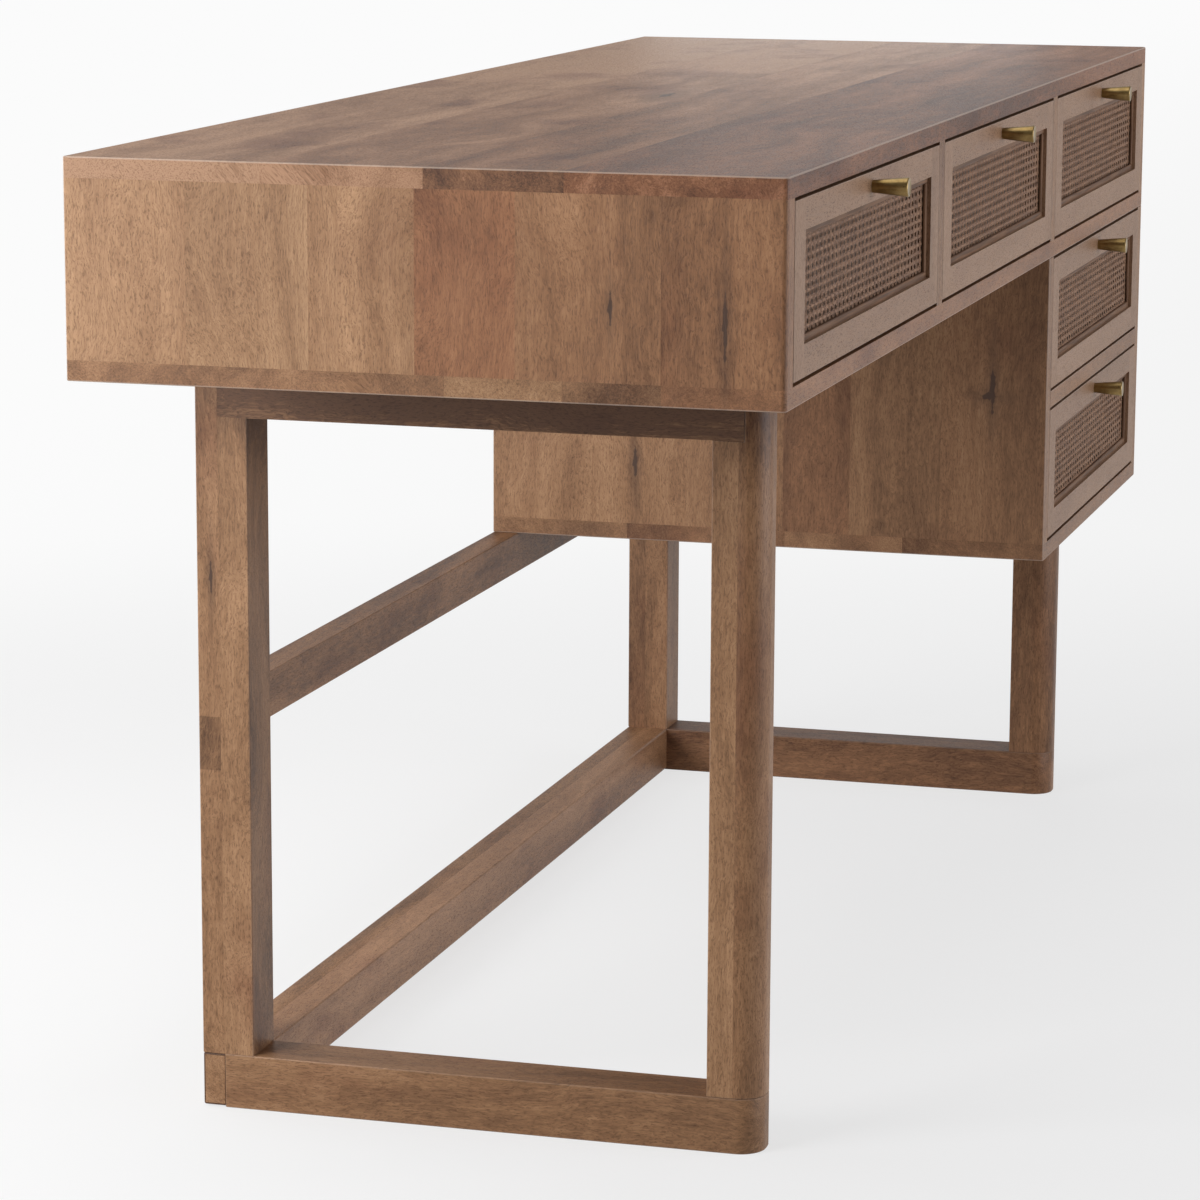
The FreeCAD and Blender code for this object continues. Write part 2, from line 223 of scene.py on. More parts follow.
def makeKnotGroup():
    # the stronger of this knot's mark and the mark given; the sum of the three distances makes pointed ends
    group, given, end = newGroup(
        "woodKnot", {"Position": "Vector", "Centre": "Vector", "Reach": "Vector", "Mark": "Float"}, {"Mark": "Float"})
    away = vectorMaths(group, "SUBTRACT", given["Position"], given["Centre"])
    ragged = noise(group, away, knotLook["stretch"], detail=3.0)
    sides = split(group, vectorMaths(group, "ABSOLUTE", vectorMaths(group, "DIVIDE", away, given["Reach"])))
    span = maths(group, "ADD", maths(group, "ADD", sides[0], sides[1]), sides[2])
    span = maths(group, "MULTIPLY_ADD", centred(group, ragged), knotLook["raggedness"], span)
    mark = given["Mark"]
    for part in (knotLook["core"], knotLook["halo"]):
        mark = maths(group, "MAXIMUM", ramp(group, span, part["rim"], part["full"], 0.0, part["share"]), mark)
    setInputs(group, end, {"Mark": mark})
    return group


woodGroup = makeWoodGroup()
knotGroup = makeKnotGroup()

# each stained wood: its colours, where painted light and shade make it paler or darker, and its knots' centre and
# reach, in metres
woodLooks = {
    "top_wood": {
        "contrast": 1.7, "edgeWearAndHighlight": 0.55,
        "dark": (0.090, 0.042, 0.021), "middle": (0.240, 0.126, 0.063), "light": (0.430, 0.262, 0.155),
        "paintedShadingRamp": {"axis": 0, "from": -0.2, "to": 0.762, "lift": 0.35},   # painted sheen: paler towards the right end
        "knots": (((-0.050, 0.030, 0.762), (0.040, 0.008, 0.03)),)},
    "case_wood": {
        "contrast": 1.2, "edgeWearAndHighlight": 0.4,
        "dark": (0.105, 0.047, 0.021), "middle": (0.315, 0.169, 0.084), "light": (0.520, 0.310, 0.168),
        "knots": (((-0.762, -0.1235, 0.669), (0.03, 0.0026, 0.016)),
                  ((-0.762, -0.2037, 0.6595), (0.03, 0.0027, 0.036)),
                  ((0.241, -0.197, 0.484), (0.02, 0.0038, 0.032)),
                  ((0.241, -0.194, 0.478), (0.02, 0.0110, 0.006)),
                  ((0.241, 0.136, 0.401), (0.02, 0.0034, 0.022)))},
    "leg_wood": {
        "contrast": 1.5, "edgeWearAndHighlight": 0.1,
        "dark": (0.100, 0.046, 0.021), "middle": (0.290, 0.155, 0.076), "light": (0.470, 0.272, 0.146),
        "paintedShadingRamp": {"axis": 2, "from": 0.50, "to": 0.58, "lift": -0.45},   # painted shade: darker under the case
        "knots": (((-0.517, 0.262, 0.420), (0.02, 0.0020, 0.020)),)},
    "drawer_front_wood": {
        "contrast": 0.7, "edgeWearAndHighlight": 0.3,
        "dark": (0.150, 0.078, 0.042), "middle": (0.305, 0.172, 0.098), "light": (0.410, 0.245, 0.150)},
    # its dark stain is partly painted shade, so the holes in the cane read dark
    "drawer_box_wood": {
        "contrast": 0.8, "edgeWearAndHighlight": 0.25,
        "dark": (0.070, 0.038, 0.020), "middle": (0.155, 0.088, 0.048), "light": (0.260, 0.155, 0.086)},
}


def makeWood(slot):
    look = woodLooks[slot]
    material, tree, shader = newMaterial(slot)
    grain = addNode(tree, "ShaderNodeAttribute", attribute_name="grain").outputs["Vector"]
    tone = split(tree, addNode(tree, "ShaderNodeAttribute", attribute_name="tone").outputs["Vector"])
    wornAndHighlit = addNode(tree, "ShaderNodeAttribute", attribute_name="wornAndHighlit").outputs["Fac"]
    place = coordinates(tree, "Object")
    lightness = tone[0]
    # a ramp along one axis adds painted light and shade to the lightness
    paintedShadingRamp = look.get("paintedShadingRamp")
    if paintedShadingRamp:
        along = split(tree, place)[paintedShadingRamp["axis"]]
        lightness = maths(tree, "ADD", lightness, ramp(tree, along, paintedShadingRamp["from"], paintedShadingRamp["to"], 0.0, paintedShadingRamp["lift"]))
    wood = useGroup(tree, woodGroup, {
        "Grain": grain, "Lightness": lightness, "Redness": tone[1], "Figure": tone[2], "Contrast": look["contrast"],
        "WornAndHighlit": maths(tree, "MULTIPLY", wornAndHighlit, look["edgeWearAndHighlight"]), "Dark": look["dark"] + (1.0,),
        "Middle": look["middle"] + (1.0,), "Light": look["light"] + (1.0,)})
    colour = wood["Color"]
    mark = 0.0
    for centre, reach in look.get("knots", ()):
        mark = useGroup(tree, knotGroup, {"Position": place, "Centre": centre, "Reach": reach, "Mark": mark})["Mark"]
    if "knots" in look:
        colour = blendColour(tree, mark, colour, knotLook["colour"])
    setInputs(tree, shader, {
        "Base Color": colour, "Roughness": wood["Roughness"], "Specular IOR Level": grainLook["specular"],
        "Normal": bumpOf(tree, wood["Height"], **grainLook["bump"])})
    return material


woods = {slot: makeWood(slot) for slot in woodLooks}
print("wood materials made")


# boards: a copy of each packed board with eased edges and staves that differ in tone

weldDistance = 0.01 * mm
onSide = 2 * weldDistance                                     # how near a point on a side of a box lies to it
sameLevel = 5 * weldDistance                                  # how near points of one level lie
flatTurn = math.radians(0.5)                                  # faces that turn less become one
sharpAngle = math.radians(40)                                 # edges that turn more can be eased
stripWidth = 3.5 * mm                                         # the faces of a rounding are narrower
smallTurn, largeTurn = math.radians(1), math.radians(50)      # and turn by this much
blendLimit = math.cos(math.radians(60))
facing = 0.8                                                  # least part of a normal along the side it faces
staveOffset = 40                                              # how far apart in the noise staves may lie, in m
axisNames = {"x": 0, "y": 1, "z": 2}


def loneSolids(bm):
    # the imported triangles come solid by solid, and a run of them that closes is one solid, merged by itself
    runs = [{}]
    openSides = set()
    for face in bm.faces:
        places = [tuple(round(value / weldDistance) for value in vert.co) for vert in face.verts]
        for side in zip(places, places[1:] + places[:1]):
            openSides ^= {frozenset(side)}
        runs[-1].update(dict.fromkeys(face.verts))
        if not openSides:
            runs.append({})
    return [list(run) for run in runs if run]


def copyNode(node):
    bm = bmesh.new()
    bm.from_mesh(frame["nodes"][node].data)
    for verts in loneSolids(bm):
        bmesh.ops.remove_doubles(bm, verts=verts, dist=weldDistance)
    bmesh.ops.dissolve_limit(bm, angle_limit=flatTurn, verts=bm.verts[:], edges=bm.edges[:])
    return bm


def boxOf(faces):
    places = [vert.co for face in faces for vert in face.verts]
    low = Vector(min(place[axis] for place in places) for axis in range(3))
    high = Vector(max(place[axis] for place in places) for axis in range(3))
    return low, high


def solidsOf(bm):
    # sorted by place, so that every run draws the same tones for the same solids
    waiting = dict.fromkeys(bm.faces)
    solids = []
    while waiting:
        stack = [waiting.popitem()[0]]
        solid = stack[:]
        while stack:
            for edge in stack.pop().edges:
                for face in edge.link_faces:
                    if face in waiting:
                        del waiting[face]
                        solid.append(face)
                        stack.append(face)
        solids.append(solid)
    return sorted(solids, key=lambda solid: [round(value / mm, 1) for corner in boxOf(solid) for value in corner])


def outerEdges(faces, reach, crisp):
    # corner edges near two sides of the board's box, without those of its crisp sides
    low, high = boxOf(faces)
    chosen = []
    for edge in dict.fromkeys(edge for face in faces for edge in face.edges):
        if len(edge.link_faces) != 2 or edge.calc_face_angle() < sharpAngle:
            continue
        middle = (edge.verts[0].co + edge.verts[1].co) / 2
        near = 0
        isCrisp = False
        for axis in range(3):
            for side, limit in (("-", low[axis]), ("+", high[axis])):
                if abs(middle[axis] - limit) < reach:
                    near += 1
                    if "xyz"[axis] + side in crisp and abs(middle[axis] - limit) < onSide:
                        isCrisp = True
        if near >= 2 and not isCrisp:
            chosen.append(edge)
    return chosen


def seamEdges(bm, seam):
    # edges of the joint at the seam's level, behind its start
    return [edge for edge in bm.edges if edge.is_convex and all(
        abs(vert.co.z - seam["level"] * mm) < sameLevel and vert.co.y > seam["behind"] * mm - weldDistance
        for vert in edge.verts)]


def cutAcross(bm, axis, places):
    normal = Vector((0.0, 0.0, 0.0))
    normal[axis] = 1.0
    for place in places:
        geometry = bm.verts[:] + bm.edges[:] + bm.faces[:]
        bmesh.ops.bisect_plane(bm, geom=geometry, plane_co=normal * place, plane_no=normal)


def cornerNormals(bm):
    # flat faces keep their own normal, and the narrow faces of eased and rounded edges blend between them
    bm.normal_update()
    narrow = set()
    for face in bm.faces:
        rim = sum(edge.calc_length() for edge in face.edges)
        turns = [edge.calc_face_angle(0.0) for edge in face.edges]
        if 2 * face.calc_area() / rim < stripWidth and any(smallTurn < turn < largeTurn for turn in turns):
            narrow.add(face)
    normals = []
    for face in bm.faces:
        for loop in face.loops:
            normal = face.normal
            if face in narrow:
                near = [other for other in loop.vert.link_faces if other.normal.dot(face.normal) > blendLimit]
                flat = [other for other in near if other not in narrow]
                if flat:
                    normal = max(flat, key=lambda other: other.normal.dot(face.normal)).normal
                else:
                    normal = sum((other.normal for other in near), Vector()).normalized()
            normals.append(normal.copy())
    return normals


def finishMesh(bm, name, material, smoothAngle=None):
    # boards and splines have no smooth angle and get their normals set
    normals = None if smoothAngle else cornerNormals(bm)
    mesh = bpy.data.meshes.new(name)
    bm.to_mesh(mesh)
    bm.free()
    mesh.shade_smooth()
    if normals:
        mesh.normals_split_custom_set(normals)
    else:
        mesh.set_sharp_from_angle(angle=math.radians(smoothAngle))
    mesh.materials.append(material)
    piece = bpy.data.objects.new(name, mesh)
    scene.collection.objects.link(piece)
    return piece


def bodyOf(node):
    return next(body for body, members in frame["record"]["behaviour"]["bodies"].items() if node in members)


# what a board has unless it says otherwise, lengths in mm
plainBoard = {
    "ease": 1.0,                     # rounding of its outer edges
    "segments": 2,                   # faces across that rounding
    "reach": 0.5,                    # how near to two sides of its box an outer edge lies
    "crisp": (),                     # sides whose edges stay sharp, such as the glued seams
    "seam": None,                    # a joint whose edges are eased too
    "whole": False,                  # its solids share one box
    "grain": None,                   # axis of the grain, else the longest of each solid
    "across": "x",                   # axis across the staves
    "staves": (),                    # their widths from the low side
    "tones": ((0.0, 0.0, 0.0),),     # lightness, redness and figure of each stave
    "spread": 0.05,                  # how far the lightness of its solids varies
    "patches": (),                   # lengths of a stave that are lighter or darker
    "endTones": (),                  # lightness added on the end of each stave
    "paintedFrontShade": 0.0,                # painted shade: lightness added on its front
    "darkEnds": 0.0,                 # length of its ends where the eased edges are dark
    "endDarkening": 0.8,                 # how much darker they are there
}


def easeEdges(bm, board, wornAndHighlitLayer):
    edges = []
    for faces in [bm.faces[:]] if board["whole"] else solidsOf(bm):
        edges += outerEdges(faces, board["reach"] * mm, board["crisp"])
    if board["seam"]:
        edges += [edge for edge in seamEdges(bm, board["seam"]) if edge not in edges]
    if edges:
        made = bmesh.ops.bevel(bm, geom=edges, offset=board["ease"] * mm, offset_type="OFFSET",
                               segments=board["segments"], profile=0.5, affect="EDGES", material=-1,
                               clamp_overlap=True)
        # the eased faces are marked for the pale edge colour, partly wear and partly painted highlight
        for face in made["faces"]:
            for loop in face.loops:
                loop[wornAndHighlitLayer] = 1.0


def toneOf(face, centre, board, stave, along):
    lightness, redness, figure = board["tones"][stave]
    for patch in board["patches"]:
        place = centre[axisNames[patch["along"]]]
        if stave == patch["stave"] and patch["from"] * mm < place < patch["to"] * mm:
            lightness += patch["lightness"]
    if board["endTones"] and abs(face.normal[along]) > facing:
        lightness += board["endTones"][stave]
    if face.normal.y < -facing:
        lightness += board["paintedFrontShade"]
    return lightness, redness, figure


def dressBoard(node, slot, **settings):
    board = {**plainBoard, **settings}
    bm = copyNode(node)
    grainLayer = bm.loops.layers.float_vector.new("grain")
    toneLayer = bm.loops.layers.float_vector.new("tone")
    wornAndHighlitLayer = bm.loops.layers.float.new("wornAndHighlit")
    easeEdges(bm, board, wornAndHighlitLayer)
    low, high = boxOf(bm.faces)
    across = axisNames[board["across"]]
    stops = []
    for width in board["staves"][:-1]:
        stops.append((stops[-1] if stops else low[across]) + width * mm)
    cutAcross(bm, across, stops)
    for patch in board["patches"]:
        cutAcross(bm, axisNames[patch["along"]], [patch["from"] * mm, patch["to"] * mm])
    for solid in solidsOf(bm):
        solidLow, solidHigh = boxOf(solid)
        size = solidHigh - solidLow
        along = axisNames[board["grain"]] if board["grain"] else max(range(3), key=lambda axis: size[axis])
        others = [axis for axis in range(3) if axis != along]
        ownTone = dice.uniform(-board["spread"], board["spread"])
        offsets = [Vector(dice.uniform(0, staveOffset) for axis in range(3)) for stave in range(len(stops) + 1)]
        for face in solid:
            centre = face.calc_center_median()
            stave = sum(1 for stop in stops if centre[across] > stop)
            lightness, redness, figure = toneOf(face, centre, board, stave, along)
            fromEnd = min(centre.x - low.x, high.x - centre.x)
            # eased edges near its ends are made darker and lose their pale edge colour
            if fromEnd < board["darkEnds"] * mm and face.loops[0][wornAndHighlitLayer] > 0.5:
                lightness -= board["endDarkening"]
                for loop in face.loops:
                    loop[wornAndHighlitLayer] = 0.0
            for loop in face.loops:
                place = loop.vert.co
                loop[grainLayer] = Vector((place[along], place[others[0]], place[others[1]])) + offsets[stave]
                loop[toneLayer] = Vector((lightness + ownTone, redness, figure))
    piece = finishMesh(bm, node + "_wood", woods[slot])
    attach(piece, bodyOf(node))
    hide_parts(node)


# boards of the case; the outer ones reach round the case's front corners and are crisp at their glued seams
caseCorner = 4.5   # a little more than their radius
outerBoard = {"reach": caseCorner, "across": "y", "spread": 0.0}
levelBoard = {**outerBoard, "grain": "x"}
uprightBoard = {**outerBoard, "grain": "z", "crisp": ("z-", "z+")}
thinBoard = {"ease": 0.5}
caseBoards = {
    "top_board": {
        **levelBoard, "slot": "top_wood", "crisp": ("z-",), "staves": (156, 100, 118, 146),
        # the dark front stave is partly painted shade, and the paler back staves and their patches partly painted
        # sheen
        "tones": ((-0.3, 0.9, 0.3), (-0.08, 0.5, 0.3), (0.12, 0.4, 0.5), (0.26, 0.3, 0.4)),
        "endTones": (0.26, -0.14, 0.36, 0.36),
        "patches": ({"stave": 1, "along": "x", "from": -120, "to": 310, "lightness": 0.1},
                    {"stave": 2, "along": "x", "from": 240, "to": 762, "lightness": 0.12},
                    {"stave": 3, "along": "x", "from": 60, "to": 762, "lightness": 0.14})},
    "case_bottom": {
        **levelBoard, "crisp": ("z+",), "staves": (87, 70, 84, 279),
        "tones": ((-0.1, 0.5, 0.1), (-0.28, 0.1, 0.1), (-0.02, 0.0, 0.1), (-0.12, 0.2, 0.2))},
    "left_end_panel": {
        **uprightBoard, "staves": (87.5, 103, 72, 55, 22, 90, 90),
        "tones": ((-0.12, 0.38, 0.3), (-0.09, 0.32, 0.4), (0.0, 0.75, 1.3), (0.1, 0.12, 1.0), (0.06, 0.1, 0.3),
                  (0.2, 0.0, 0.8), (0.09, 0.1, 1.0))},
    "right_end_panel": {
        **uprightBoard, "staves": (96, 74, 88, 120, 142),
        "tones": ((0.0, 0.2, 0.3), (-0.08, 0.5, 0.6), (0.08, 0.0, 0.2), (-0.02, 0.1, 0.5), (0.06, 0.1, 0.2))},
    "pedestal_left_side": {
        **uprightBoard, "reach": plainBoard["reach"], "staves": (96, 84, 62, 92, 90, 96),
        "tones": ((-0.16, 0.15, 0.2), (-0.12, 0.05, 0.3), (-0.2, 0.4, 0.9), (-0.08, 0.1, 0.3), (0.0, 0.1, 0.3),
                  (0.06, 0.1, 0.4))},
    "pedestal_right_side": {
        **uprightBoard, "staves": (110, 66, 94, 130, 120),
        "tones": ((0.02, 0.1, 0.3), (-0.1, 0.4, 0.5), (0.06, 0.0, 0.2), (-0.04, 0.1, 0.3), (0.04, 0.1, 0.2))},
    "pedestal_bottom": {
        **levelBoard, "crisp": ("z+",), "staves": (130, 110, 150, 130),
        "tones": ((-0.2, 0.2, 0.1), (-0.1, 0.1, 0.1), (-0.22, 0.3, 0.1), (-0.1, 0.1, 0.1))},
    "drawer_divider": {**thinBoard, "grain": "z", "crisp": ("z-", "z+"), "tones": ((-0.2, 0.1, 0.2),)},
    "pedestal_divider": {**thinBoard, "grain": "z", "crisp": ("z-", "z+"), "tones": ((-0.2, 0.1, 0.2),)},
    "pedestal_shelf": {**thinBoard, "grain": "x", "crisp": ("x-", "x+"), "tones": ((-0.22, 0.2, 0.2),)},
    "case_back": {
        **thinBoard, "grain": "x", "across": "z", "staves": (58, 70),
        "tones": ((-0.04, 0.1, 0.3), (0.05, 0.05, 0.2))},
    "pedestal_back": {
        **thinBoard, "grain": "x", "across": "z", "staves": (92, 70, 97),
        "tones": ((0.0, 0.1, 0.2), (-0.08, 0.3, 0.4), (0.04, 0.0, 0.2))},
}
for node, settings in caseBoards.items():
    dressBoard(node, **{"slot": "case_wood", **settings})
print("case boards dressed")


# leg frames and stretchers; legs and the lower stretcher are laminated from two staves
legRound = 20.5   # a little more than the radius of the legs' and rails' front corners
frameEase = 1.1
frontLeg = {"reach": legRound, "across": "y", "staves": (22, 20)}
backLeg = {"across": "y", "staves": (24, 18),
           "seam": {"level": 43.5, "behind": 255.5}}   # where it meets the stretcher's tongue
lappedRail = {"crisp": ("y-", "y+", "z-", "z+")}
frameBoards = {
    "left_bottom_rail": {"reach": legRound, "tones": ((0.06, 0.1, 0.2),)},
    "left_front_leg": {**frontLeg, "tones": ((0.02, 0.15, 0.3), (0.06, 0.05, 0.2))},
    # painted shade: the back leg's front is darker
    "left_back_leg": {
        **backLeg, "tones": ((0.06, 0.05, 0.9), (0.04, 0.1, 0.5)), "paintedFrontShade": -0.24,
        "patches": ({"stave": 1, "along": "z", "from": 270, "to": 312, "lightness": -0.28},)},
    # painted shade: its dark tone stands for the shade under the case
    "left_top_rail": {**lappedRail, "tones": ((-0.24, 0.1, 0.2),)},
    # the right frame's darker tones are partly painted shade
    "right_bottom_rail": {"reach": legRound, "tones": ((-0.16, 0.4, 0.2),)},
    "right_front_leg": {**frontLeg, "tones": ((-0.18, 0.3, 0.2), (-0.12, 0.3, 0.2))},
    "right_back_leg": {**backLeg, "tones": ((-0.12, 0.2, 0.2), (-0.18, 0.2, 0.2))},
    "right_top_rail": {**lappedRail, "tones": ((-0.16, 0.2, 0.2),)},
    "lower_stretcher": {
        "ease": 1.8, "darkEnds": 44, "across": "y", "staves": (24, 18),
        "tones": ((0.04, 0.25, 0.3), (0.02, 0.1, 0.2))},
    "upper_stretcher": {"tones": ((-0.18, 0.2, 0.2),)},
}
for node, settings in frameBoards.items():
    dressBoard(node, **{"slot": "leg_wood", "ease": frameEase, **settings})
print("leg frames dressed")


# drawer fronts and boxes
drawerFront = {"slot": "drawer_front_wood", "ease": 0.5, "spread": 0.07, "whole": True}
drawerBox = {"slot": "drawer_box_wood", "ease": 0.8, "spread": 0.05}
for drawer in drawers:
    dressBoard(drawer + "_front_frame", **drawerFront)
    for kind in ("_sides", "_ends", "_bottom"):
        dressBoard(drawer + kind, **drawerBox)
print("drawers dressed")


# woven cane: upright, level and slanting strands over and under each other, held by splines
caneLook = {
    "groove": 7.0 * mm,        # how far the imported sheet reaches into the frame
    "tuck": 3.0 * mm,          # how far the weave runs under the splines
    "depth": 6.0 * mm,         # how far the weave lies behind the drawer's front
    "pitch": 6.15 * mm,
    "stepsPerPitch": 2,
    "uprightWidth": 1.85 * mm,
    "levelWidth": 2.0 * mm,
    "slantWidth": 1.0 * mm,
    "crown": 0.2 * mm,         # how far the face of a strand bulges
    "swing": 0.22 * mm,        # how far a strand moves in and out
    "slantSwing": 0.48 * mm,
    "slantLag": 0.3,           # shifts the slanting strands apart where they cross, in radians
    "smoothAngle": 60,
    "patches": {"stretch": (18.0, 18.0, 400.0), "share": 0.9},
    "shade": {"from": 0.25, "to": 0.75},
    "roughness": {"from": 0.2, "to": 0.8, "low": 0.45, "high": 0.65},
    "bump": {"strength": 0.3, "depth": 0.0002},
}
# each strand's own place in the noise: a start for each direction and a step from strand to strand
strandSeeds = {"upright": (0.0, 0.37), "level": (5.0, 0.71), "slant": (9.0, 0.53)}
caneShades = {
    "wovenCane": {"colour": (0.150, 0.072, 0.038), "pale": (0.360, 0.200, 0.116), "streak": (40.0, 900.0, 400.0),
                  "shine": 0.25},
    # the splines are darker than the cane, partly as painted shade in the recess at the frame's edge
    "caneSpline": {"colour": (0.105, 0.053, 0.029), "pale": (0.215, 0.118, 0.068), "streak": (12.0, 700.0, 700.0),
                   "shine": 0.12},
}


def makeCane(name):
    look = caneShades[name]
    material, tree, shader = newMaterial(name)
    grain = addNode(tree, "ShaderNodeAttribute", attribute_name="grain").outputs["Vector"]
    fibres = noise(tree, grain, look["streak"], detail=3.0, roughness=0.6)
    patches = noise(tree, grain, caneLook["patches"]["stretch"], detail=1.0)
    shade = maths(tree, "MULTIPLY_ADD", centred(tree, patches), caneLook["patches"]["share"], fibres)
    shade = ramp(tree, shade, caneLook["shade"]["from"], caneLook["shade"]["to"])
    dull = caneLook["roughness"]
    setInputs(tree, shader, {
        "Base Color": blendColour(tree, shade, look["colour"] + (1.0,), look["pale"] + (1.0,)),
        "Roughness": ramp(tree, fibres, dull["from"], dull["to"], dull["low"], dull["high"]),
        "Specular IOR Level": look["shine"],
        "Normal": bumpOf(tree, fibres, **caneLook["bump"])})
    return material


caneMaterial = makeCane("wovenCane")
splineMaterial = makeCane("caneSpline")


def strandMesh(length, steps, width):
    # one straight strand along X with a crowned face towards -Y, closed behind
    bm = bmesh.new()
    bmesh.ops.create_grid(bm, x_segments=steps, y_segments=3, size=0.5)
    half = width / 2
    section = {0: (-half, 0.0), 1: (0.0, -caneLook["crown"]), 2: (half, 0.0), 3: (-half, 0.0)}
    for vert in bm.verts:
        side, out = section[round((vert.co.y + 0.5) * 3)]
        vert.co = Vector((vert.co.x * length, out, side))
    bmesh.ops.remove_doubles(bm, verts=bm.verts[:], dist=weldDistance)
    bmesh.ops.holes_fill(bm, edges=bm.edges[:], sides=3)
    bmesh.ops.recalc_face_normals(bm, faces=bm.faces[:])
    mesh = bpy.data.meshes.new("strand")
    bm.to_mesh(mesh)
    bm.free()
    return mesh


def layStrand(bm, mesh, turn, place, swing, seed):
    # turn: angle of the strand from level; swing(spot) moves it in and out of the panel
    grainLayer = bm.verts.layers.float_vector["grain"]
    before = len(bm.verts)
    bm.from_mesh(mesh)
    bm.verts.ensure_lookup_table()
    rotation = Matrix.Rotation(-turn, 3, "Y")
    for vert in bm.verts[before:]:
        flat = vert.co.copy()
        vert[grainLayer] = Vector((flat.x, flat.z, seed))
        spot = rotation @ Vector((flat.x, 0.0, flat.z)) + place
        vert.co = spot + Vector((0.0, flat.y - swing(spot), 0.0))


def seedOf(direction, index):
    start, step = strandSeeds[direction]
    return index * step + start


def weaveCane(drawer):
    node = drawer + "_cane"
    low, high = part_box(node)
    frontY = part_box(drawer + "_front_frame")[0].y
    inset = caneLook["groove"] - caneLook["tuck"]
    left, right = low.x + inset, high.x - inset
    under, top = low.z + inset, high.z - inset
    pitch, swing, slantSwing = caneLook["pitch"], caneLook["swing"], caneLook["slantSwing"]
    wave = math.pi / pitch
    centre = Vector(((left + right) / 2, 0.0, (under + top) / 2))
    columns = math.ceil((right - left) / 2 / pitch)
    rows = math.ceil((top - under) / 2 / pitch)
    tallSteps = 2 * rows * caneLook["stepsPerPitch"]
    wideSteps = 2 * columns * caneLook["stepsPerPitch"]
    tall = strandMesh(2 * rows * pitch, tallSteps, caneLook["uprightWidth"])
    wide = strandMesh(2 * columns * pitch, wideSteps, caneLook["levelWidth"])
    slant = strandMesh(2 * rows * pitch * math.sqrt(2), tallSteps, caneLook["slantWidth"])
    bm = bmesh.new()
    bm.verts.layers.float_vector.new("grain")
    for column in range(-columns, columns + 1):
        layStrand(bm, tall, math.pi / 2, centre + Vector((column * pitch, 0.0, 0.0)),
                  lambda spot: swing * math.cos(wave * (spot.z - centre.z) - math.pi * column),
                  seedOf("upright", column))
    for row in range(-rows, rows + 1):
        layStrand(bm, wide, 0.0, centre + Vector((0.0, 0.0, row * pitch)),
                  lambda spot: -swing * math.cos(wave * (spot.x - centre.x) - math.pi * row),
                  seedOf("level", row))
    for step in range(-columns - rows, columns + rows + 1):
        for turn, lag in ((math.pi / 4, caneLook["slantLag"]), (-math.pi / 4, -caneLook["slantLag"])):
            layStrand(bm, slant, turn, centre + Vector(((step + 0.5) * pitch, 0.0, 0.0)),
                      lambda spot: slantSwing * math.cos(wave * (spot.x - centre.x) - lag),
                      seedOf("slant", step) + turn)
    for spot, outward in ((left, (-1, 0, 0)), (right, (1, 0, 0)), (under, (0, 0, -1)), (top, (0, 0, 1))):
        normal = Vector(outward)
        geometry = bm.verts[:] + bm.edges[:] + bm.faces[:]
        bmesh.ops.bisect_plane(bm, geom=geometry, plane_co=Vector((abs(normal.x), 0, abs(normal.z))) * spot,
                               plane_no=normal, clear_outer=True)
    bmesh.ops.translate(bm, verts=bm.verts[:], vec=Vector((0.0, frontY + caneLook["depth"], 0.0)))
    piece = finishMesh(bm, drawer + "_weave", caneMaterial, caneLook["smoothAngle"])
    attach(piece, drawer)
    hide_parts(node)


def dressSplines(drawer):
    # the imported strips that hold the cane, without the plain sheet
    node = drawer + "_cane"
    bm = copyNode(node)
    grainLayer = bm.loops.layers.float_vector.new("grain")
    sheet = max(solidsOf(bm), key=lambda solid: (boxOf(solid)[1] - boxOf(solid)[0]).length)
    bmesh.ops.delete(bm, geom=sheet, context="FACES")
    for solid in solidsOf(bm):
        low, high = boxOf(solid)
        along = 0 if high.x - low.x > high.z - low.z else 2
        for face in solid:
            for loop in face.loops:
                place = loop.vert.co
                loop[grainLayer] = Vector((place[along], place[1], place[2 - along]))
    piece = finishMesh(bm, drawer + "_splines", splineMaterial)
    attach(piece, drawer)
    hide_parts(node)


for drawer in drawers:
    weaveCane(drawer)
    dressSplines(drawer)
print("cane woven")


# tapered brass knobs
knobLook = {
    "sides": 48, "base": 4.6 * mm, "end": 7.2 * mm, "rim": 0.9 * mm, "dish": 0.25 * mm, "steps": 3, "smoothAngle": 40,
    "brushed": {"stretch": (900.0, 60.0, 900.0), "from": 0.3, "to": 0.7, "share": 0.35,
                "colour": (0.330, 0.240, 0.118, 1.0)},
    "tarnish": {"stretch": (160.0, 160.0, 160.0), "from": 0.35, "to": 0.7, "colour": (0.192, 0.122, 0.041, 1.0)},
    "colour": (0.305, 0.205, 0.076, 1.0),
    "roughness": {"base": 0.18, "tarnish": 0.12, "brushed": 0.14},
    "bump": {"strength": 0.15, "depth": 0.0001},
}


def makeBrass():
    material, tree, shader = newMaterial("antiqueBrass")
    place = coordinates(tree, "Object")
    fine, old, dull = knobLook["brushed"], knobLook["tarnish"], knobLook["roughness"]
    brushed = noise(tree, place, fine["stretch"])
    tarnish = noise(tree, place, old["stretch"], detail=4.0, roughness=0.6)
    colour = blendColour(tree, ramp(tree, tarnish, old["from"], old["to"]), knobLook["colour"], old["colour"])
    share = ramp(tree, brushed, fine["from"], fine["to"], 0.0, fine["share"])
    rough = maths(tree, "MULTIPLY_ADD", tarnish, dull["tarnish"], dull["base"])
    setInputs(tree, shader, {
        "Base Color": blendColour(tree, share, colour, fine["colour"]), "Metallic": 1.0,
        "Roughness": maths(tree, "MULTIPLY_ADD", brushed, dull["brushed"], rough),
        "Normal": bumpOf(tree, brushed, **knobLook["bump"])})
    return material


brass = makeBrass()


